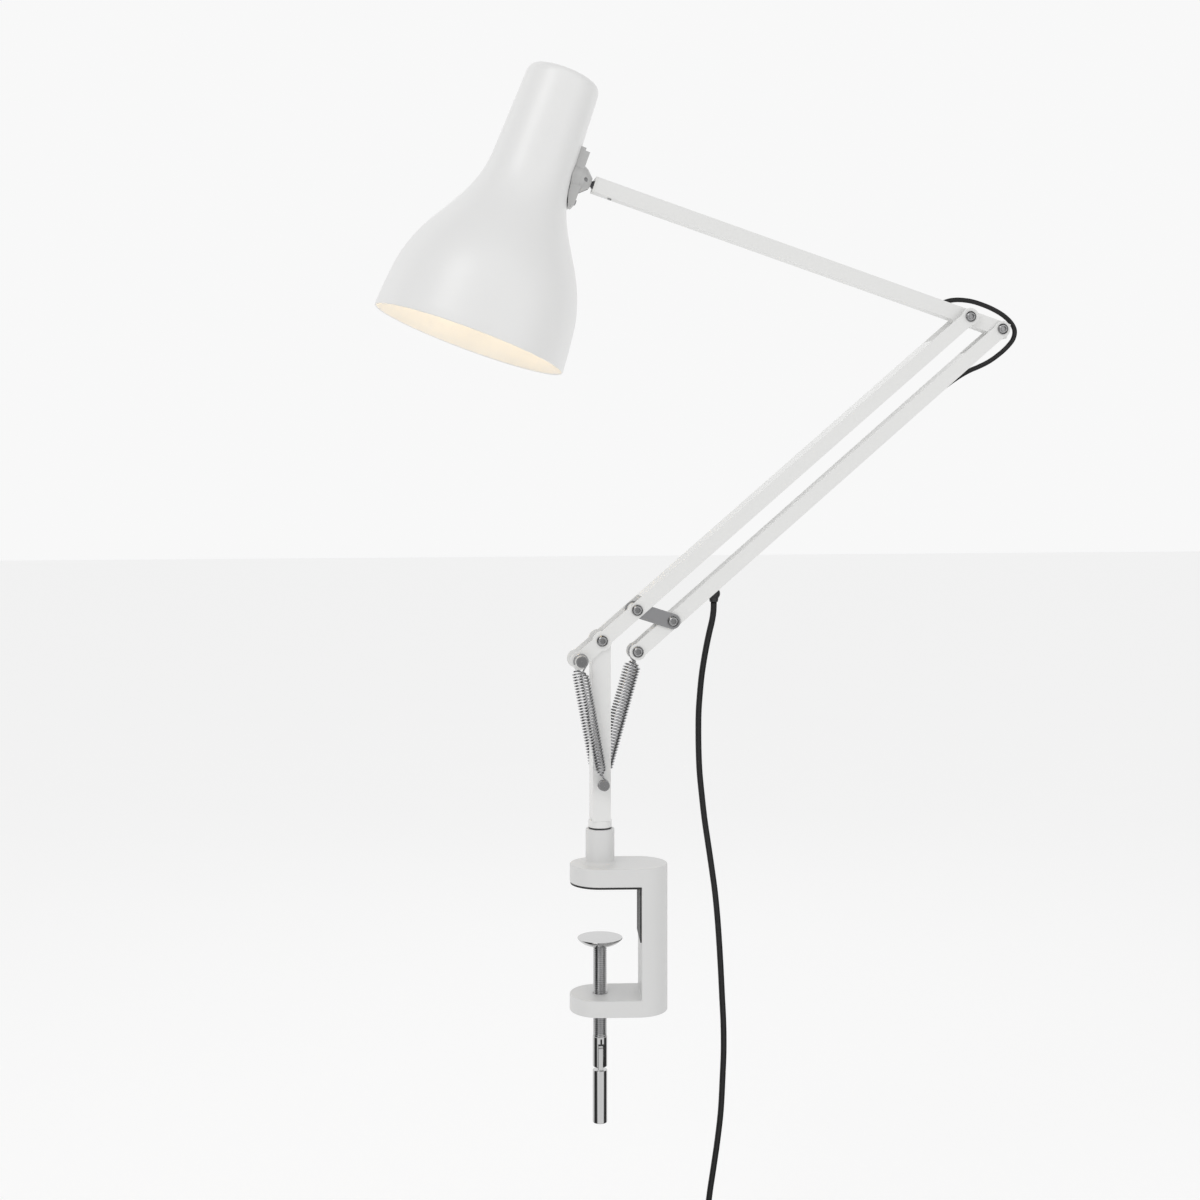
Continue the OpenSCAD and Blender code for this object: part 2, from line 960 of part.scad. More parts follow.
clamp_frame();
jaw_pad();
post_bush();
screw_pad();
clamp_screw();
handle_pin();
clamp_handle();
stem_spigot();
stem_channel();
spring_anchor();
twin_spring_front();
twin_spring_rear();
twin_spring_hooks();
lower_arm_channel();
stem_pivot_bolt();
stem_pivot_nut();
tail_studs();
tail_bushes();
elbow_bolt();
elbow_nut();
elbow_spacers();
link_bolt();
link_nut();
link_spacer();
link_plates();
link_end_bolt();
link_end_nut();
arm_tail_bolt();
arm_tail_nut();
parallel_bar();
spring_bolt();
spring_nut();
spring_bush();
single_spring();
single_spring_lower();
single_spring_foot();
upper_arm_tube();
arm_end_cap();
grub_screw();
arm_cable();
elbow_cable();
bar_cable();
knuckle();
shade_bracket();
tilt_pin();
bracket_screws();
shade_shell();
lampholder();
lampholder_ring();
bulb();
switch_body();
switch_rocker();
cord_grommet();
cord();
cord_coil();
cord_tail();
coil_tie();
plug_body();
plug_pins();
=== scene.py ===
"""Looks for the swing arm desk lamp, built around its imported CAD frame.

Lengths are in millimetres in this script and turned into metres by MM as each mesh is made.
"""

import math

import bmesh
import bpy
from mathutils import Matrix, Vector


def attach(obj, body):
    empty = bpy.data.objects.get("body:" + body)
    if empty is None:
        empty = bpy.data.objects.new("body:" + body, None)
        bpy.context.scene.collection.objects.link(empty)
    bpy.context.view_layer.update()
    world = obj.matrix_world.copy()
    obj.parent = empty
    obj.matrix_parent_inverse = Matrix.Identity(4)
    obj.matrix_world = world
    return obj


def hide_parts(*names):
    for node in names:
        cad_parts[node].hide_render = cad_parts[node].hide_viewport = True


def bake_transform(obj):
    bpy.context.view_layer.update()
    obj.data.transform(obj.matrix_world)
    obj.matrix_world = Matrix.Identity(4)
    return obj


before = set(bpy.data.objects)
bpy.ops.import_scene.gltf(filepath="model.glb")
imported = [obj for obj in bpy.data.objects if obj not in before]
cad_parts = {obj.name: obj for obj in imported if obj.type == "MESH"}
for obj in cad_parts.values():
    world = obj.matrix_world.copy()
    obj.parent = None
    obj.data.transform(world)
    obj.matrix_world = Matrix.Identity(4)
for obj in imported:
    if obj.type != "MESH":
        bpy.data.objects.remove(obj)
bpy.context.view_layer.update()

MM = 0.001
Y = Vector((0, 1, 0))
Z = Vector((0, 0, 1))


def plane(degrees):
    """Unit vector in the plane of the arms, raised above +X."""
    a = math.radians(degrees)
    return Vector((math.cos(a), 0, math.sin(a)))


# ---- driving dimensions, the same as the CAD's ----
LOWER_RISE = 40.4
UPPER_RISE = 17.8
SHADE_LEAN = 20
LOWER_LEN = 360
UPPER_LEN = 300
LINK_LEN = 27.5
LINK_UP = 33
TAIL_LEN = 21
CORD_D = 4.5
INNER_CABLE_D = 3.5
STEM_PIVOT = Vector((0, 0, 172.5))
ANCHOR = Vector((0, 0, 72))
LOWER_OUT = 9.6
LINK_OUT = 8.2
BAR_OUT = 6.6

LOWER_DIR = plane(LOWER_RISE)
LINK_VEC = LINK_LEN * plane(-UPPER_RISE)
ELBOW = STEM_PIVOT + LOWER_LEN * LOWER_DIR
LINK_PIN = STEM_PIVOT + LINK_UP * LOWER_DIR
LINK_END = LINK_PIN + LINK_VEC
TAIL_PIN = ELBOW + LINK_VEC
BAR_LOW = STEM_PIVOT + LINK_VEC
TWIN_PIN = STEM_PIVOT - TAIL_LEN * LOWER_DIR
KNUCKLE = ELBOW - UPPER_LEN * plane(-UPPER_RISE)
SHADE_SIDE = plane(-SHADE_LEAN)
SHADE_UP = plane(90 - SHADE_LEAN)
KNUCKLE_R = 38.2
KNUCKLE_T = 60.5
SHADE_TOP = KNUCKLE - KNUCKLE_R * SHADE_SIDE + KNUCKLE_T * SHADE_UP

# ---- camera ----
VIEW_TURN = 10
CAMERA_DISTANCE = 1200
CAMERA_HEIGHT = 285
SENSOR_WIDTH = 36
FOCAL_LENGTH = 50.7
SHIFT_UP = -0.0988
turn = math.radians(VIEW_TURN)
camera_data = bpy.data.cameras.new("camera")
camera_data.sensor_width = SENSOR_WIDTH
camera_data.lens = FOCAL_LENGTH
camera_data.shift_y = SHIFT_UP
camera_data.clip_start = 0.05
camera = bpy.data.objects.new("camera", camera_data)
bpy.context.collection.objects.link(camera)
camera.location = MM * Vector(
    (-CAMERA_DISTANCE * math.sin(turn), -CAMERA_DISTANCE * math.cos(turn), CAMERA_HEIGHT)
)
camera.rotation_euler = (math.pi / 2, 0, -turn)
bpy.context.scene.camera = camera


# ---- mesh tools ----
def finish_mesh(name, bm, smooth=True):
    """A new object from a bmesh whose points are in millimetres."""
    bmesh.ops.recalc_face_normals(bm, faces=bm.faces)
    bmesh.ops.scale(bm, vec=(MM, MM, MM), verts=bm.verts)
    mesh = bpy.data.meshes.new(name)
    bm.to_mesh(mesh)
    bm.free()
    mesh.polygons.foreach_set("use_smooth", [smooth] * len(mesh.polygons))
    obj = bpy.data.objects.new(name, mesh)
    bpy.context.collection.objects.link(obj)
    return obj


def rounded(obj, width, segments=3, angle=35):
    """Rounds an object's sharp edges and evens its flats with modifiers, which leave its own mesh alone."""
    weld = obj.modifiers.new("weld", "WELD")
    weld.merge_threshold = 0.00001
    flats = obj.modifiers.new("flats", "DECIMATE")
    flats.decimate_type = "DISSOLVE"
    flats.angle_limit = math.radians(0.5)
    bevel = obj.modifiers.new("bevel", "BEVEL")
    bevel.width = width * MM
    bevel.segments = segments
    bevel.limit_method = "ANGLE"
    bevel.angle_limit = math.radians(angle)
    normals = obj.modifiers.new("normals", "WEIGHTED_NORMAL")
    normals.keep_sharp = True


def frame_on(axis):
    """Two unit vectors at right angles to an axis."""
    side = axis.cross(Y)
    if side.length < 0.01:
        side = axis.cross(Z)
    side.normalize()
    return side, axis.cross(side).normalized()


def lathe(bm, profile, origin, axis, sides=64):
    """Turns a profile of (radius, distance along the axis) into a surface of revolution."""
    a, b = frame_on(axis)
    rings = []
    for radius, along in profile:
        centre = origin + axis * along
        if radius < 1e-6:
            rings.append([bm.verts.new(centre)])
            continue
        ring = []
        for k in range(sides):
            angle = math.tau * k / sides
            ring.append(bm.verts.new(centre + radius * (math.cos(angle) * a + math.sin(angle) * b)))
        rings.append(ring)
    for low, high in zip(rings, rings[1:]):
        for k in range(sides):
            n = (k + 1) % sides
            corners = []
            for vert in (low[k % len(low)], low[n % len(low)], high[n % len(high)], high[k % len(high)]):
                if vert not in corners:
                    corners.append(vert)
            bm.faces.new(corners)


def smooth_path(points, step):
    """Points about one step apart on a smooth curve through the given ones."""
    padded = [2 * points[0] - points[1]] + list(points) + [2 * points[-1] - points[-2]]
    fine = []
    for i in range(1, len(padded) - 2):
        p0, p1, p2, p3 = padded[i - 1 : i + 3]
        count = max(1, round((p2 - p1).length / step))
        for k in range(count):
            t = k / count
            fine.append(
                0.5
                * (
                    2 * p1
                    + (p2 - p0) * t
                    + (2 * p0 - 5 * p1 + 4 * p2 - p3) * t * t
                    + (3 * p1 - p0 - 3 * p2 + p3) * t**3
                )
            )
    fine.append(points[-1].copy())
    return fine


def sweep(bm, path, radius, sides=12):
    """A round tube of one radius along a path, with a frame carried along it, and flat caps at its ends."""
    count = len(path)
    tangents = [
        (path[min(i + 1, count - 1)] - path[max(i - 1, 0)]).normalized() for i in range(count)
    ]
    side, _ = frame_on(tangents[0])
    rings = []
    for i, point in enumerate(path):
        side = (side - tangents[i] * side.dot(tangents[i])).normalized()
        other = tangents[i].cross(side)
        ring = []
        for k in range(sides):
            angle = math.tau * k / sides
            ring.append(bm.verts.new(point + radius * (math.cos(angle) * side + math.sin(angle) * other)))
        rings.append(ring)
    for low, high in zip(rings, rings[1:]):
        for k in range(sides):
            n = (k + 1) % sides
            bm.faces.new((low[k], low[n], high[n], high[k]))
    bm.faces.new(rings[0][::-1])
    bm.faces.new(rings[-1])


# ---- materials ----
def shader(name):
    material = bpy.data.materials.new(name)
    material.use_nodes = True
    nodes = material.node_tree.nodes
    return material, nodes, material.node_tree.links, nodes["Principled BSDF"]


def coordinates(nodes, links, scale):
    place = nodes.new("ShaderNodeTexCoord")
    mapping = nodes.new("ShaderNodeMapping")
    mapping.inputs["Scale"].default_value = scale
    links.new(place.outputs["Object"], mapping.inputs["Vector"])
    return mapping.outputs["Vector"]


def noise(nodes, links, vector, scale, detail=3):
    texture = nodes.new("ShaderNodeTexNoise")
    texture.inputs["Scale"].default_value = scale
    texture.inputs["Detail"].default_value = detail
    links.new(vector, texture.inputs["Vector"])
    return texture.outputs["Fac"]


def spread(nodes, links, value, low, high):
    """Maps a noise value, mostly 0.3 to 0.7, onto a range."""
    remap = nodes.new("ShaderNodeMapRange")
    remap.inputs["From Min"].default_value = 0.3
    remap.inputs["From Max"].default_value = 0.7
    remap.inputs["To Min"].default_value = low
    remap.inputs["To Max"].default_value = high
    links.new(value, remap.inputs["Value"])
    return remap.outputs["Result"]


def tint(nodes, links, value, dark, light):
    """A colour that wanders between two near ones."""
    mix = nodes.new("ShaderNodeMix")
    mix.data_type = "RGBA"
    mix.inputs["A"].default_value = (*dark, 1)
    mix.inputs["B"].default_value = (*light, 1)
    links.new(value, mix.inputs["Factor"])
    return mix.outputs["Result"]


def add_bump(nodes, links, bsdf, height, strength, distance):
    bump = nodes.new("ShaderNodeBump")
    bump.inputs["Strength"].default_value = strength
    bump.inputs["Distance"].default_value = distance * MM
    links.new(height, bump.inputs["Height"])
    links.new(bump.outputs["Normal"], bsdf.inputs["Normal"])


def surface(
    name, colour, rough, grain, bump, metal=0.0, vary=0.03, stretch=(1, 1, 1), coat=0.0, sheen=0.0
):
    """A material with fine grain in its bump and roughness and a slow drift in its colour.

    grain is the grain's size in millimetres, and bump its depth in thousandths of a millimetre.
    """
    material, nodes, links, bsdf = shader(name)
    vector = coordinates(nodes, links, stretch)
    fine = noise(nodes, links, vector, 1000 / grain)
    slow = noise(nodes, links, vector, 1000 / (grain * 40), detail=4)
    dark = tuple(c * (1 - vary) for c in colour)
    light = tuple(min(1, c * (1 + vary)) for c in colour)
    links.new(tint(nodes, links, slow, dark, light), bsdf.inputs["Base Color"])
    links.new(spread(nodes, links, fine, rough * 0.85, rough * 1.15), bsdf.inputs["Roughness"])
    bsdf.inputs["Metallic"].default_value = metal
    bsdf.inputs["Coat Weight"].default_value = coat
    bsdf.inputs["Coat Roughness"].default_value = 0.25
    bsdf.inputs["Sheen Weight"].default_value = sheen
    add_bump(nodes, links, bsdf, fine, 0.6, bump / 1000)
    return material


WHITE = surface("white_powder_coat", (0.80, 0.80, 0.79), 0.42, 1.6, 4, vary=0.012)
SHADE_WHITE = surface("shade_satin_white", (0.82, 0.82, 0.815), 0.36, 1.3, 10, vary=0.010, coat=0.15)
CAST_GREY = surface("clamp_powder_coat", (0.70, 0.70, 0.695), 0.46, 1.2, 9, vary=0.015)
BRACKET_GREY = surface("bracket_satin_grey", (0.50, 0.50, 0.495), 0.38, 1.0, 7, vary=0.02)
LINK_GREY = surface("link_tumbled_steel", (0.42, 0.42, 0.43), 0.36, 0.5, 10, metal=0.85, vary=0.05)
NICKEL = surface("bright_nickel", (0.60, 0.60, 0.60), 0.10, 1.0, 0.6, metal=1.0, vary=0.02)
SCREW_STEEL = surface(
    "drawn_steel", (0.50, 0.50, 0.505), 0.18, 0.6, 1.5, metal=1.0, vary=0.04, stretch=(1, 1, 0.08)
)
FASTENER = surface("stainless_fastener", (0.42, 0.42, 0.425), 0.24, 0.6, 2, metal=1.0, vary=0.05)
SPRING_WIRE = surface("spring_wire", (0.52, 0.52, 0.53), 0.16, 0.6, 1, metal=1.0, vary=0.04)
# the knuckle's near-black colour is painted shade, standing in for the shadowed gap between the bracket's
# dome and the arm's end
KNUCKLE_STEEL_PAINTED_SHADE = surface("knuckle_steel_painted_shade", (0.10, 0.10, 0.105), 0.34, 0.5, 8, metal=0.8, vary=0.06)
NYLON = surface("white_nylon", (0.78, 0.78, 0.76), 0.40, 0.6, 8, vary=0.02)
BLACK_PLASTIC = surface("black_moulding", (0.022, 0.022, 0.023), 0.42, 0.5, 14, vary=0.08)
RUBBER = surface("black_rubber", (0.020, 0.020, 0.020), 0.66, 0.4, 20, vary=0.10, sheen=0.15)
CABLE = surface("cable_sheath", (0.006, 0.006, 0.0065), 0.48, 0.8, 6, vary=0.10, sheen=0.02)
HOLDER = surface("lampholder_moulding", (0.74, 0.74, 0.71), 0.30, 0.9, 8, vary=0.02)
CAP_METAL = surface("bulb_cap_metal", (0.62, 0.60, 0.55), 0.28, 0.5, 6, metal=1.0, vary=0.04)
PIN_METAL = surface("plug_pin_metal", (0.70, 0.68, 0.60), 0.22, 0.4, 4, metal=1.0, vary=0.03)
FLOOR = surface("pale_floor", (0.88, 0.88, 0.88), 0.75, 6, 20, vary=0.004)
# lifts the floor to the tone of the studio behind it
FLOOR_GLOW = 0.18
floor_shader = FLOOR.node_tree.nodes["Principled BSDF"]
floor_shader.inputs["Emission Color"].default_value = (1, 1, 1, 1)
floor_shader.inputs["Emission Strength"].default_value = FLOOR_GLOW
floor_shader.inputs["Specular IOR Level"].default_value = 0


BULB_GLOW = 4.6
BULB_WARMTH = (1.0, 0.76, 0.42, 1)


def lit_glass():
    """Opal glass of the bulb, lit warm from inside."""
    material, nodes, links, bsdf = shader("opal_glass_lit")
    vector = coordinates(nodes, links, (1, 1, 1))
    slow = noise(nodes, links, vector, 60)
    links.new(tint(nodes, links, slow, (0.97, 0.93, 0.84), (1, 0.96, 0.88)), bsdf.inputs["Base Color"])
    links.new(spread(nodes, links, slow, 0.12, 0.18), bsdf.inputs["Roughness"])
    bsdf.inputs["Emission Color"].default_value = BULB_WARMTH
    bsdf.inputs["Emission Strength"].default_value = BULB_GLOW
    return material


BULB_GLASS = lit_glass()


def paint(obj, material):
    obj.data.materials.clear()
    obj.data.materials.append(material)
    return obj


def dress(node, material, edge=None, segments=3, angle=35):
    """Keeps a CAD node, with a finished material and softened edges."""
    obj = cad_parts[node]
    for place in obj.material_slots:
        place.material = material
    if edge:
        rounded(obj, edge, segments, angle)


# ---- supply cord ----
CORD_ROUTE = [
    (83, 0, 198.5), (82.8, 0, 192), (82, 1, 185), (80.6, 3, 177), (79.2, 6, 167), (78.2, 10, 156),
    (77.4, 14, 144), (77.1, 18, 131), (77.1, 22, 117), (77.6, 25, 103), (78.5, 28, 87), (79.7, 30, 71),
    (81.6, 31, 54), (83.8, 31.5, 36), (86.6, 32, 18), (89.3, 32, 0), (91.8, 32, -18), (93.6, 32, -36),
    (95, 32, -55), (96.2, 32, -75), (97.2, 32, -95), (98.2, 32, -115), (98.4, 32, -135), (97.6, 32, -155),
    (96.2, 32, -180), (93.6, 32, -202), (90.6, 32, -222), (87.8, 32, -240), (86, 32, -256), (84.9, 32, -270),
]
TAIL_ROUTE = [
    (84.4, 36.6, -287), (84.5, 36.5, -295), (84.4, 36, -303), (84, 35.2, -311), (83.4, 34.6, -319),
    (82.9, 34.2, -327), (82.8, 34, -335),
]
COIL_RADIUS = 26.5
COIL_CENTRE = Vector((55.6, 36.6, -283))
LAY_PITCH = CORD_D * 1.02
# each turn's place in the bundle, outward and backward in pitches from its middle
LAY = [(0.5, -1), (-0.5, -1.5), (-0.5, -0.5), (-0.5, 0.5), (-0.5, 1.5), (0.5, 1), (0.5, 0)]
# the part of each turn where the cord eases over to the next place
LAY_START = [0.75, 0.5, 0.5, 0.5, 0.25, 0]
LAY_EASE = 0.23
POINTS_PER_TURN = 24


def smoothstep(t):
    t = min(1, max(0, t))
    return t * t * (3 - 2 * t)


def coil_path():
    """Seven turns, clockwise from the right-hand side, that lie beside and on each other."""
    points = []
    for k in range(len(LAY) * POINTS_PER_TURN):
        done = k / POINTS_PER_TURN
        i = min(int(done), len(LAY) - 2)
        ease = smoothstep((done - i - LAY_START[i]) / LAY_EASE)
        out = LAY[i][0] + (LAY[i + 1][0] - LAY[i][0]) * ease
        back = LAY[i][1] + (LAY[i + 1][1] - LAY[i][1]) * ease
        angle = -math.tau * done
        radius = COIL_RADIUS + out * LAY_PITCH
        points.append(
            COIL_CENTRE + Vector((radius * math.cos(angle), back * LAY_PITCH, radius * math.sin(angle)))
        )
    return points


def vectors(points):
    return [Vector(p) for p in points]


def tube(name, path, radius, sides=12):
    bm = bmesh.new()
    sweep(bm, path, radius, sides)
    return finish_mesh(name, bm)


cord_points = vectors(CORD_ROUTE) + coil_path() + vectors(TAIL_ROUTE)
cord_line = smooth_path(cord_points, 3)
supply_cord = tube("supply_cord", cord_line, CORD_D / 2, 14)
paint(supply_cord, CABLE)
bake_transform(supply_cord)
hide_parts("cord", "cord_coil", "cord_tail")


# ---- cable round the elbow ----
LOOP_ROUTE = [
    (248, 0, 411.8), (254.5, 0, 415.6), (260.7, 0, 418), (267, 0, 418.9), (273.5, 0, 418.7),
    (280.1, 0, 417.7),
    (288, 0, 415.4), (295.8, 0, 412.3), (303.6, 0, 408), (309.6, 0, 402.6), (312.4, 0, 397),
    (311.2, 0, 390.6), (306.2, 0, 384.4), (299.7, 0, 378.8), (292, 0, 373.6), (284.2, 0, 369.8),
    (277, 0, 366.8), (270, 0, 363), (263.5, 0, 358.8), (257.2, 0, 354.4),
]
elbow_loop = tube("elbow_cable_loop", smooth_path(vectors(LOOP_ROUTE), 1.5), INNER_CABLE_D / 2, 14)
paint(elbow_loop, CABLE)
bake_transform(elbow_loop)
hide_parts("elbow_cable")


# ---- springs ----
def spring_path(foot, head, coil_r, wire, pitch, foot_hook, head_hook, coil_start, coil_stop):
    """The centreline of a close-wound spring: lower hook, narrowing coil, upper hook."""
    length = (head - foot).length
    up = (head - foot) / length
    side = Y.cross(up).normalized()
    points = []
    for degrees in range(-205, 56, 12):
        a = math.radians(degrees)
        points.append(foot + foot_hook * (math.cos(a) * side + math.sin(a) * up))
    points.append(foot + 0.3 * foot_hook * side + (foot_hook + 0.8) * up)
    body = length - coil_start - coil_stop
    turns = round(body / pitch)
    radius = coil_r - wire / 2
    cone = 2.6
    steps = 16
    for k in range(turns * steps + 1):
        t = k / steps
        near_end = min(t, turns - t)
        r = radius * (0.16 + 0.84 * smoothstep(near_end / cone))
        a = math.tau * t
        points.append(
            foot
            + (coil_start + body * k / (turns * steps)) * up
            + r * (math.cos(a) * side + math.sin(a) * Y)
        )
    points.append(head + 0.3 * head_hook * side - (head_hook + 0.8) * up)
    for degrees in range(-55, 206, 12):
        a = math.radians(degrees)
        points.append(head + head_hook * (math.cos(a) * side + math.sin(a) * up))
    return points, foot + coil_start * up, head - coil_stop * up


def spring_piece(name, path, wire, nodes):
    coil = tube(name, path, wire / 2, 10)
    paint(coil, SPRING_WIRE)
    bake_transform(coil)
    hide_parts(*nodes)


TWIN_Y = 13.6
TWIN_R = 4.25
TWIN_WIRE = 1.2
SINGLE_R = 6.4
SINGLE_WIRE = 1.4
SINGLE_SPLIT = 0.58
COIL_PITCH = 2.1
TWIN_HOOKS = (3.6, 4.9)
SINGLE_HOOKS = (5.3, 3.8)
COIL_START = 6.2
COIL_STOP = 6.8
for name, side, nodes in (
    ("twin_spring_front_coil", -1, ("twin_spring_front", "twin_spring_hooks")),
    ("twin_spring_rear_coil", 1, ("twin_spring_rear",)),
):
    offset = side * TWIN_Y * Y
    points, low, high = spring_path(
        ANCHOR + offset, TWIN_PIN + offset, TWIN_R, TWIN_WIRE, COIL_PITCH, *TWIN_HOOKS, COIL_START, COIL_STOP
    )
    path = smooth_path(points, 0.9)
    spring_piece(name, path, TWIN_WIRE, nodes)

# the single spring turns, and stretches in two runs that meet part of the way up the stem
points, high, low = spring_path(
    BAR_LOW, ANCHOR, SINGLE_R, SINGLE_WIRE, COIL_PITCH, *SINGLE_HOOKS, COIL_START, COIL_STOP
)
path = smooth_path(points, 0.9)
split = BAR_LOW + SINGLE_SPLIT * (ANCHOR - BAR_LOW)
reach = (ANCHOR - BAR_LOW).dot(split - BAR_LOW)
cut = next(i for i, p in enumerate(path) if (ANCHOR - BAR_LOW).dot(p - BAR_LOW) > reach)
spring_piece(
    "single_spring_upper_coil", path[: cut + 1], SINGLE_WIRE,
    ("single_spring",),
)
spring_piece(
    "single_spring_lower_coil", path[cut:], SINGLE_WIRE,
    ("single_spring_lower", "single_spring_foot"),
)


# ---- bolts and nuts across the arms ----
HEAD_R = 4.1
HEAD_H = 2.2
SOCKET_R = 1.75
BOLT_R = 2.5
NUT_R = 4.2
NUT_H = 3
ROUND = 48
# radius and depth of a button head, from the edge of its socket to under its rim
DOME = [(2.1, 0), (2.6, 0.12), (3.15, 0.4), (3.65, 0.85), (3.98, 1.4), (HEAD_R, 1.9), (HEAD_R, HEAD_H)]


def hexagon(flat_radius, start=0):
    """Radii that make ROUND points lie on a hexagon."""
    return [
        flat_radius / math.cos(math.radians((360 * k / ROUND + start) % 60 - 30)) for k in range(ROUND)
    ]


def rings_on(centre, layout):
    """Stacked rings along Y, each a list of radii at a depth behind the centre."""
    bm = bmesh.new()
    rings = []
    for radii, depth in layout:
        ring = []
        for k, radius in enumerate(radii):
            a = math.tau * k / ROUND
            ring.append(bm.verts.new(centre + depth * Y + radius * Vector((math.cos(a), 0, math.sin(a)))))
        rings.append(ring)
    return bm, rings


def skin(bm, rings):
    for low, high in zip(rings, rings[1:]):
        for k in range(len(low)):
            n = (k + 1) % len(low)
            bm.faces.new((low[k], low[n], high[n], high[k]))


def sharpen(obj, degrees):
    """Keeps edges steeper than this crisp while the rest is shaded smooth."""
    bm = bmesh.new()
    bm.from_mesh(obj.data)
    for edge in bm.edges:
        edge.smooth = len(edge.link_faces) != 2 or edge.calc_face_angle(0) < math.radians(degrees)
    bm.to_mesh(obj.data)
    bm.free()


def button_bolt(node, centre, reach, body):
    """A domed bolt head with a hexagon socket, on a shank that ends behind the nut."""
    end = 2 * reach + HEAD_H + NUT_H + 1
    flat = [1.0] * ROUND
    layout = [(hexagon(SOCKET_R), 1.3), (hexagon(SOCKET_R), 0.12)]
    layout += [([radius * f for f in flat], depth) for radius, depth in DOME]
    layout += [([BOLT_R] * ROUND, HEAD_H), ([BOLT_R] * ROUND, end - 0.4), ([BOLT_R - 0.4] * ROUND, end)]
    bm, rings = rings_on(centre - (reach + HEAD_H) * Y, layout)
    skin(bm, rings)
    bm.faces.new(rings[0][::-1])
    bm.faces.new(rings[-1])
    bolt = finish_mesh(node + "_shape", bm)
    sharpen(bolt, 38)
    paint(bolt, FASTENER)
    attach(bolt, body)
    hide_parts(node)


def hex_nut(node, centre, reach, body):
    """A hexagon nut, chamfered at both faces, round its bolt."""
    across = NUT_R * math.cos(math.radians(30))
    bore = [BOLT_R + 0.02] * ROUND
    land = [across] * ROUND
    wall = hexagon(across, start=30)
    chamfer = 0.35
    layout = [(bore, 0), (land, 0), (wall, chamfer), (wall, NUT_H - chamfer), (land, NUT_H), (bore, NUT_H)]
    bm, rings = rings_on(centre + reach * Y, layout)
    skin(bm, rings + rings[:1])
    nut = finish_mesh(node + "_shape", bm)
    sharpen(nut, 25)
    paint(nut, FASTENER)
    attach(nut, body)
    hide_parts(node)


GAP = 0.05
for bolt, nut, centre, reach, body in (
    ("stem_pivot_bolt", "stem_pivot_nut", STEM_PIVOT, LOWER_OUT, "lower_arm"),
    ("elbow_bolt", "elbow_nut", ELBOW, LOWER_OUT + GAP, "lower_arm"),
    ("link_bolt", "link_nut", LINK_PIN, LOWER_OUT + GAP, "lower_arm"),
    ("link_end_bolt", "link_end_nut", LINK_END, LINK_OUT, "link"),
    ("arm_tail_bolt", "arm_tail_nut", TAIL_PIN, BAR_OUT + GAP, "bar"),
    ("spring_bolt", "spring_nut", BAR_LOW, BAR_OUT, "bar"),
):
    button_bolt(bolt, centre, reach, body)
    hex_nut(nut, centre, reach, body)


# ---- shade ----
SHADE_LEN = 195
MOUTH_R = 69.8
NECK_R = 27
SHADE_T = 1.2
CAP_RISE = 6.2
BELL = [(29.4, 62), (31, 105), (60, 118), (67, 162)]


def bell(s):
    weights = ((1 - s) ** 3, 3 * (1 - s) ** 2 * s, 3 * (1 - s) * s * s, s**3)
    return tuple(sum(w * p[i] for w, p in zip(weights, BELL)) for i in (0, 1))


def shade_outline(inset):
    """Radius and distance down from the cap edge, from the cap's rim to the mouth."""
    points = [(NECK_R - inset, 3)]
    points += [(r - inset, t) for r, t in (bell(i / 28) for i in range(29))]
    points += [(67.9 - inset, 170), (68.7 - inset, 178), (69.3 - inset, 187)]
    return points


def cap_outline(inset):
    points = [(0, -CAP_RISE + inset)]
    for degrees in range(0, 90, 10):
        a = math.radians(degrees)
        points.append((NECK_R - 4 + (4 - inset) * math.sin(a), 3 - (7.4 - inset) * math.cos(a)))
    return points


def shade_shape():
    rim = [
        (MOUTH_R, SHADE_LEN - 0.9),
        (MOUTH_R - 0.15, SHADE_LEN - 0.3),
        (MOUTH_R - 0.6, SHADE_LEN),
        (MOUTH_R - 1.05, SHADE_LEN - 0.3),
        (MOUTH_R - SHADE_T, SHADE_LEN - 0.9),
    ]
    outer = cap_outline(0) + shade_outline(0)
    inner = cap_outline(SHADE_T) + shade_outline(SHADE_T)
    profile = outer + rim + inner[::-1]
    bm = bmesh.new()
    lathe(bm, profile, SHADE_TOP, -SHADE_UP, 160)
    return finish_mesh("shade_skin", bm)


shade = shade_shape()
paint(shade, SHADE_WHITE)
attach(shade, "shade")
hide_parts("shade_shell")

# bulb: glass on a metal cap with a rolled thread
BULB_R = 23
BULB_T = 106
CAP_R = 13
glass_profile = [
    (CAP_R - 0.6, 44), (CAP_R - 0.2, 47), (CAP_R - 0.1, 54), (14.4, 60), (15.8, 67), (17.3, 75), (18.9, 84),
]
for degrees in range(50, -91, -10):
    a = math.radians(degrees)
    glass_profile.append((BULB_R * math.cos(a), BULB_T - BULB_R * math.sin(a)))
glass_profile[-1] = (0, BULB_T + BULB_R)
bm = bmesh.new()
lathe(bm, [(0, 43)] + glass_profile, SHADE_TOP, -SHADE_UP, 72)
glass = finish_mesh("bulb_glass_envelope", bm)
paint(glass, BULB_GLASS)
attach(glass, "shade")
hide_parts("bulb")
cap_profile = [(0, 20), (5, 20), (6, 21), (11.5, 24)]
for k in range(28):
    cap_profile.append((CAP_R - 0.55 + 0.5 * math.sin(math.tau * k / 7), 25 + 18.5 * k / 27))
cap_profile += [(CAP_R - 0.3, 44.5), (0, 44.5)]
bm = bmesh.new()
lathe(bm, cap_profile, SHADE_TOP, -SHADE_UP, 64)
bulb_cap = finish_mesh("bulb_screw_cap", bm)
paint(bulb_cap, CAP_METAL)
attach(bulb_cap, "shade")


# ---- clamp screw, with its thread ----
THREAD_PITCH = 1.5
THREAD_DEPTH = 0.85
SCREW_R = 4.95
SCREW_TOP = -44.6
FORK_TOP = -108
FORK_END = -130
FORK_R = 5.2
FORK_SLOT = 2.1


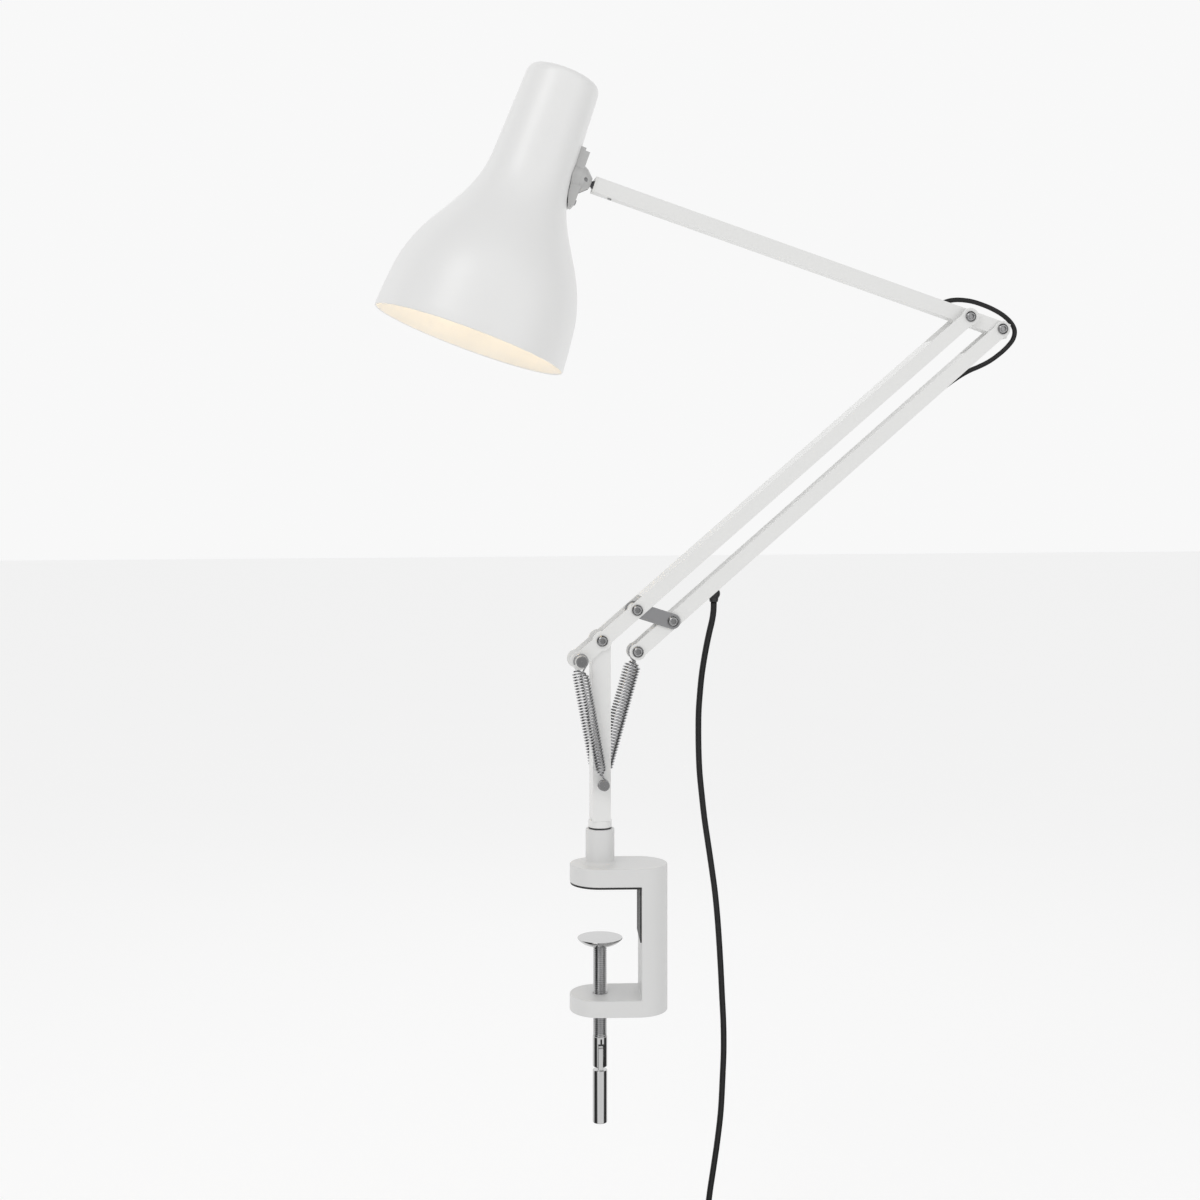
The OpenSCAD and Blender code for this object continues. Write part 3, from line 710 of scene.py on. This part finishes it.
def thread_radius(z, angle):
    """Radius of a trapezoid thread, flat at its crest and root, that fades out at both ends."""
    phase = (z / THREAD_PITCH + angle / math.tau) % 1
    ramp = min(1, max(0, (abs(phase - 0.5) - 0.1) / 0.3))
    fade = min(1, (SCREW_TOP - z) / 1.5, (z - FORK_TOP) / 1.5)
    return SCREW_R - THREAD_DEPTH * (1 - ramp) * max(0, fade)


def threaded_rod():
    bm = bmesh.new()
    sides = 40
    rows = round((SCREW_TOP - FORK_TOP) / THREAD_PITCH * 8)
    rings = []
    for i in range(rows + 1):
        z = SCREW_TOP + (FORK_TOP - SCREW_TOP) * i / rows
        ring = []
        for k in range(sides):
            a = math.tau * k / sides
            r = thread_radius(z, a)
            ring.append(bm.verts.new((r * math.cos(a), r * math.sin(a), z)))
        rings.append(ring)
    skin(bm, rings)
    bm.faces.new(rings[0][::-1])
    bm.faces.new(rings[-1])
    rod = finish_mesh("clamp_screw_thread", bm)
    paint(rod, SCREW_STEEL)
    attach(rod, "clamp_screw_body")
    return rod


def slotted_fork():
    """The screw's lower end: a round bar with a slot for the handle's tongue."""
    bm = bmesh.new()
    slot_top = -113
    rows = [FORK_TOP, FORK_TOP - 0.6, slot_top, FORK_END + 0.6, FORK_END]
    for side in (-1, 1):
        # one half of the round bar, cut flat along the slot
        start = math.acos(FORK_SLOT / FORK_R)
        arc = [start - 2 * start * k / 20 for k in range(21)]
        for part in (0, 1):
            rings = []
            part_rows = rows[:3] if part == 0 else rows[2:]
            for z in part_rows:
                r = FORK_R - (0.6 if z in (FORK_TOP, FORK_END) else 0)
                if part == 0:
                    outline = [(side * r * math.cos(a), r * math.sin(a)) for a in
                               (math.pi / 2 - math.pi * k / 20 for k in range(21))]
                else:
                    outline = [(side * r * math.cos(a), r * math.sin(a)) for a in arc]
                rings.append([bm.verts.new((x, y, z)) for x, y in outline])
            skin(bm, rings)
            bm.faces.new(rings[0])
            bm.faces.new(rings[-1][::-1])
    bmesh.ops.remove_doubles(bm, verts=bm.verts, dist=0.001)
    fork = finish_mesh("clamp_screw_fork", bm)
    sharpen(fork, 35)
    paint(fork, NICKEL)
    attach(fork, "clamp_screw_body")


rod = threaded_rod()
slotted_fork()
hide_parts("clamp_screw")

# ---- CAD pieces kept, with softened edges and finished materials ----
for node, material, edge in (
    ("clamp_frame", CAST_GREY, 1.1),
    ("jaw_pad", RUBBER, 0.3),
    ("post_bush", BLACK_PLASTIC, 0.2),
    ("screw_pad", NICKEL, 0.3),
    ("handle_pin", FASTENER, 0.2),
    ("clamp_handle", NICKEL, 0.5),
    ("stem_spigot", WHITE, 0.4),
    ("stem_channel", WHITE, 0.55),
    ("spring_anchor", FASTENER, 0.4),
    ("lower_arm_channel", WHITE, 0.55),
    ("tail_studs", FASTENER, 0.5),
    ("tail_bushes", NYLON, 0.3),
    ("elbow_spacers", NYLON, 0.3),
    ("link_spacer", NYLON, 0.3),
    ("link_plates", LINK_GREY, 0.25),
    ("parallel_bar", WHITE, 0.55),
    ("spring_bush", NYLON, 0.4),
    ("upper_arm_tube", WHITE, 0.5),
    ("arm_end_cap", NYLON, 0.3),
    ("grub_screw", FASTENER, 0.2),
    ("arm_cable", CABLE, None),
    ("bar_cable", CABLE, None),
    # the knuckle's near-black is painted shade for the shadowed gap at the shade joint
    ("knuckle", KNUCKLE_STEEL_PAINTED_SHADE, 0.3),
    ("shade_bracket", BRACKET_GREY, 0.7),
    ("tilt_pin", FASTENER, 0.2),
    ("bracket_screws", FASTENER, 0.3),
    ("lampholder", HOLDER, 0.8),
    ("lampholder_ring", HOLDER, 0.8),
    ("switch_body", BLACK_PLASTIC, 0.4),
    ("switch_rocker", BLACK_PLASTIC, 0.5),
    ("cord_grommet", BLACK_PLASTIC, 0.2),
    ("coil_tie", BLACK_PLASTIC, 0.3),
    ("plug_body", BLACK_PLASTIC, 1.5),
    ("plug_pins", PIN_METAL, 0.4),
):
    dress(node, material, edge)

# ---- floor and light ----
# tones that polished metal sees, from the camera's side round to the far side
WALLS = [(0, 0.22), (0.05, 0.9), (0.18, 0.95), (0.28, 0.04), (0.6, 0.04), (0.72, 0.85), (1, 0.95)]


def wall_tone(nodes, links, direction):
    """A tone for a reflected ray, from how far its direction points away from the camera."""
    parts = nodes.new("ShaderNodeSeparateXYZ")
    depth = nodes.new("ShaderNodeMapRange")
    depth.inputs["From Min"].default_value = -1
    ramp = nodes.new("ShaderNodeValToRGB")
    stops = ramp.color_ramp.elements
    for _ in range(len(WALLS) - len(stops)):
        stops.new(0.5)
    for stop, (place, tone) in zip(stops, WALLS):
        stop.position = place
        stop.color = (tone, tone, tone, 1)
    links.new(direction, parts.inputs["Vector"])
    links.new(parts.outputs["Y"], depth.inputs["Value"])
    links.new(depth.outputs["Result"], ramp.inputs["Fac"])
    return ramp.outputs["Color"]


def floor_reflections():
    """Shows polished metal the same dark walls in the floor as in the studio round it."""
    nodes = FLOOR.node_tree.nodes
    links = FLOOR.node_tree.links
    place = nodes.new("ShaderNodeTexCoord")
    direction = nodes.new("ShaderNodeVectorMath")
    direction.operation = "NORMALIZE"
    walls = nodes.new("ShaderNodeEmission")
    rays = nodes.new("ShaderNodeLightPath")
    mix = nodes.new("ShaderNodeMixShader")
    links.new(place.outputs["Object"], direction.inputs[0])
    links.new(wall_tone(nodes, links, direction.outputs["Vector"]), walls.inputs["Color"])
    links.new(rays.outputs["Is Glossy Ray"], mix.inputs["Fac"])
    links.new(floor_shader.outputs["BSDF"], mix.inputs[1])
    links.new(walls.outputs["Emission"], mix.inputs[2])
    links.new(mix.outputs["Shader"], nodes["Material Output"].inputs["Surface"])


FLOOR_Z = -440
FLOOR_SIZE = 30000


def floor():
    bm = bmesh.new()
    half = FLOOR_SIZE / 2
    square = ((-half, -half), (half, -half), (half, half), (-half, half))
    corners = [bm.verts.new((x, y, FLOOR_Z)) for x, y in square]
    bm.faces.new(corners)
    ground = finish_mesh("floor", bm, smooth=False)
    ground.data.materials.append(FLOOR)


floor_reflections()
floor()


def softbox(name, place, aim, size, power, colour=(1, 1, 1)):
    data = bpy.data.lights.new(name, "AREA")
    data.shape = "DISK"
    data.size = size * MM
    data.energy = power
    data.color = colour
    light = bpy.data.objects.new(name, data)
    bpy.context.collection.objects.link(light)
    light.location = MM * Vector(place)
    direction = Vector(aim) - Vector(place)
    light.rotation_euler = direction.to_track_quat("-Z", "Y").to_euler()


CENTRE = (60, 0, 230)
softbox("key", (-900, -1100, 1500), CENTRE, 900, 4.5)
softbox("fill", (1400, -900, 600), CENTRE, 1200, 1)
softbox("back", (300, 1500, 1200), CENTRE, 1200, 1.5)

# an even white studio: pale to the eye, a little dimmer as light, with dark side walls in polished metal
STUDIO = 0.94
AMBIENT = 0.80


def studio():
    world = bpy.data.worlds.new("studio")
    world.use_nodes = True
    nodes = world.node_tree.nodes
    links = world.node_tree.links
    even = nodes["Background"]
    even.inputs["Color"].default_value = (AMBIENT, AMBIENT, AMBIENT, 1)
    seen = nodes.new("ShaderNodeBackground")
    seen.inputs["Color"].default_value = (STUDIO, STUDIO, STUDIO, 1)
    walls = nodes.new("ShaderNodeBackground")
    direction = nodes.new("ShaderNodeTexCoord")
    rays = nodes.new("ShaderNodeLightPath")
    mix = nodes.new("ShaderNodeMixShader")
    to_eye = nodes.new("ShaderNodeMixShader")
    links.new(wall_tone(nodes, links, direction.outputs["Generated"]), walls.inputs["Color"])
    links.new(rays.outputs["Is Glossy Ray"], mix.inputs["Fac"])
    links.new(even.outputs["Background"], mix.inputs[1])
    links.new(walls.outputs["Background"], mix.inputs[2])
    links.new(rays.outputs["Is Camera Ray"], to_eye.inputs["Fac"])
    links.new(mix.outputs["Shader"], to_eye.inputs[1])
    links.new(seen.outputs["Background"], to_eye.inputs[2])
    links.new(to_eye.outputs["Shader"], nodes["World Output"].inputs["Surface"])
    bpy.context.scene.world = world


studio()
bpy.context.scene.view_settings.view_transform = "Standard"
